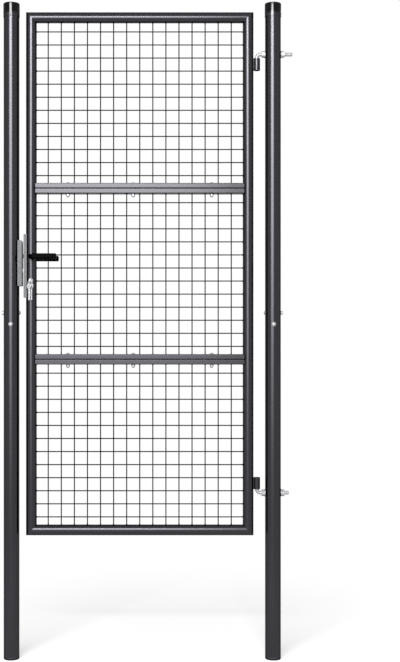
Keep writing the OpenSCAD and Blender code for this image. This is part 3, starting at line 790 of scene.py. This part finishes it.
# %% Cut the threads of the hooks
THREAD_PITCH = 0.002
THREAD_ROOT = 0.00685
THREAD_CREST = 0.0073
THREAD_FROM = 0.0405
THREAD_END = 0.0014
TURN_STEPS = 20
TRIANGLE_W = math.sqrt(3)
TRIANGLE_H = 1.5
MERGE_WITHIN = 0.00001


def hook_thread(hook_name, name):
    """A helical ridge on the free end of a hook's arm."""
    low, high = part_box(hook_name)
    arm_r = (high[1] - low[1]) / 2
    if "upper" in hook_name:
        arm_z = high[2] - arm_r
    else:
        arm_z = low[2] + arm_r
    turns = int((high[0] - THREAD_END - THREAD_FROM) / THREAD_PITCH)
    clear_selection()
    bpy.ops.mesh.primitive_circle_add(vertices=3, radius=1, rotation=(math.radians(90), 0, 0))
    ridge = bpy.context.object
    apply_place()
    ridge.scale = (THREAD_PITCH / TRIANGLE_W, 1, (THREAD_CREST - THREAD_ROOT) / TRIANGLE_H)
    apply_place()
    middle = (THREAD_CREST + 2 * THREAD_ROOT) / 3
    bpy.ops.object.mode_set(mode="EDIT")
    bpy.ops.mesh.select_all(action="SELECT")
    bpy.ops.transform.translate(value=(0, 0, middle))
    bpy.ops.object.mode_set(mode="OBJECT")
    apply_modifier(ridge, "SCREW", axis="X", screw_offset=THREAD_PITCH, iterations=turns,
                   steps=TURN_STEPS, render_steps=TURN_STEPS)
    ridge.location = (THREAD_FROM, 0, arm_z)
    apply_place()
    bpy.ops.object.mode_set(mode="EDIT")
    bpy.ops.mesh.select_all(action="SELECT")
    bpy.ops.mesh.remove_doubles(threshold=MERGE_WITHIN)
    bpy.ops.mesh.fill_holes(sides=4)
    bpy.ops.mesh.normals_make_consistent(inside=False)
    bpy.ops.object.mode_set(mode="OBJECT")
    settle(ridge, name, "posts", "zinc")
    print(name, turns, "turns at height", round(arm_z, 4))


hook_thread("upper_hinge_hook", "upper_hook_thread")
hook_thread("lower_hinge_hook", "lower_hook_thread")

# %% [markdown]
# ## Fore-end screws
# Two countersunk screws hold the lock's fore-end to its case. A head is a short cylinder whose face
# is inset and pulled out a little. Two crossed bars, taken away by a Boolean, leave the slots.

# %% Shape one screw
SCREW_R = 0.0042
SCREW_H = 0.0016
SCREW_SIDES = 24
SCREW_RIM = SCREW_R / 4
SCREW_PROUD = 0.0003
SLOT_L = 0.0052
SLOT_W = 0.001
SLOT_TURNS = (20, 110)

clear_selection()
bpy.ops.mesh.primitive_cylinder_add(vertices=SCREW_SIDES, radius=SCREW_R, depth=SCREW_H)
screw = bpy.context.object
bpy.ops.object.mode_set(mode="EDIT")
pick_faces(screw, lambda normal: normal.z > FACING)
bpy.ops.mesh.inset(thickness=SCREW_RIM)
bpy.ops.transform.translate(value=(0, 0, SCREW_PROUD))
bpy.ops.object.mode_set(mode="OBJECT")
for turn in SLOT_TURNS:
    clear_selection()
    bpy.ops.mesh.primitive_cube_add(size=1, location=(0, 0, SCREW_H / 2 + SCREW_PROUD))
    bar = bpy.context.object
    bar.scale = (SLOT_L, SLOT_W, SCREW_H)
    bar.rotation_euler = (0, 0, math.radians(turn))
    apply_place()
    make_active(screw)
    apply_modifier(screw, "BOOLEAN", operation="DIFFERENCE", solver="EXACT", object=bar)
    bpy.data.objects.remove(bar)
print("screw:", len(screw.data.polygons), "faces")

# %% Set the screws in the fore-end
SCREW_MARGIN = 0.011

fore_low, fore_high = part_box("lock_fore_end")
screw.rotation_euler = (0, math.radians(-90), 0)
screw.location = (fore_low[0] + SCREW_H / 2 - SCREW_PROUD, 0, fore_low[2] + SCREW_MARGIN)
apply_place()
between = fore_high[2] - fore_low[2] - 2 * SCREW_MARGIN
fore_end_screws = join_copies(screw, [(0, 0, between)])
settle(fore_end_screws, "fore_end_screws", "leaf", "zinc")
print("fore-end screws:", len(fore_end_screws.data.polygons), "faces")
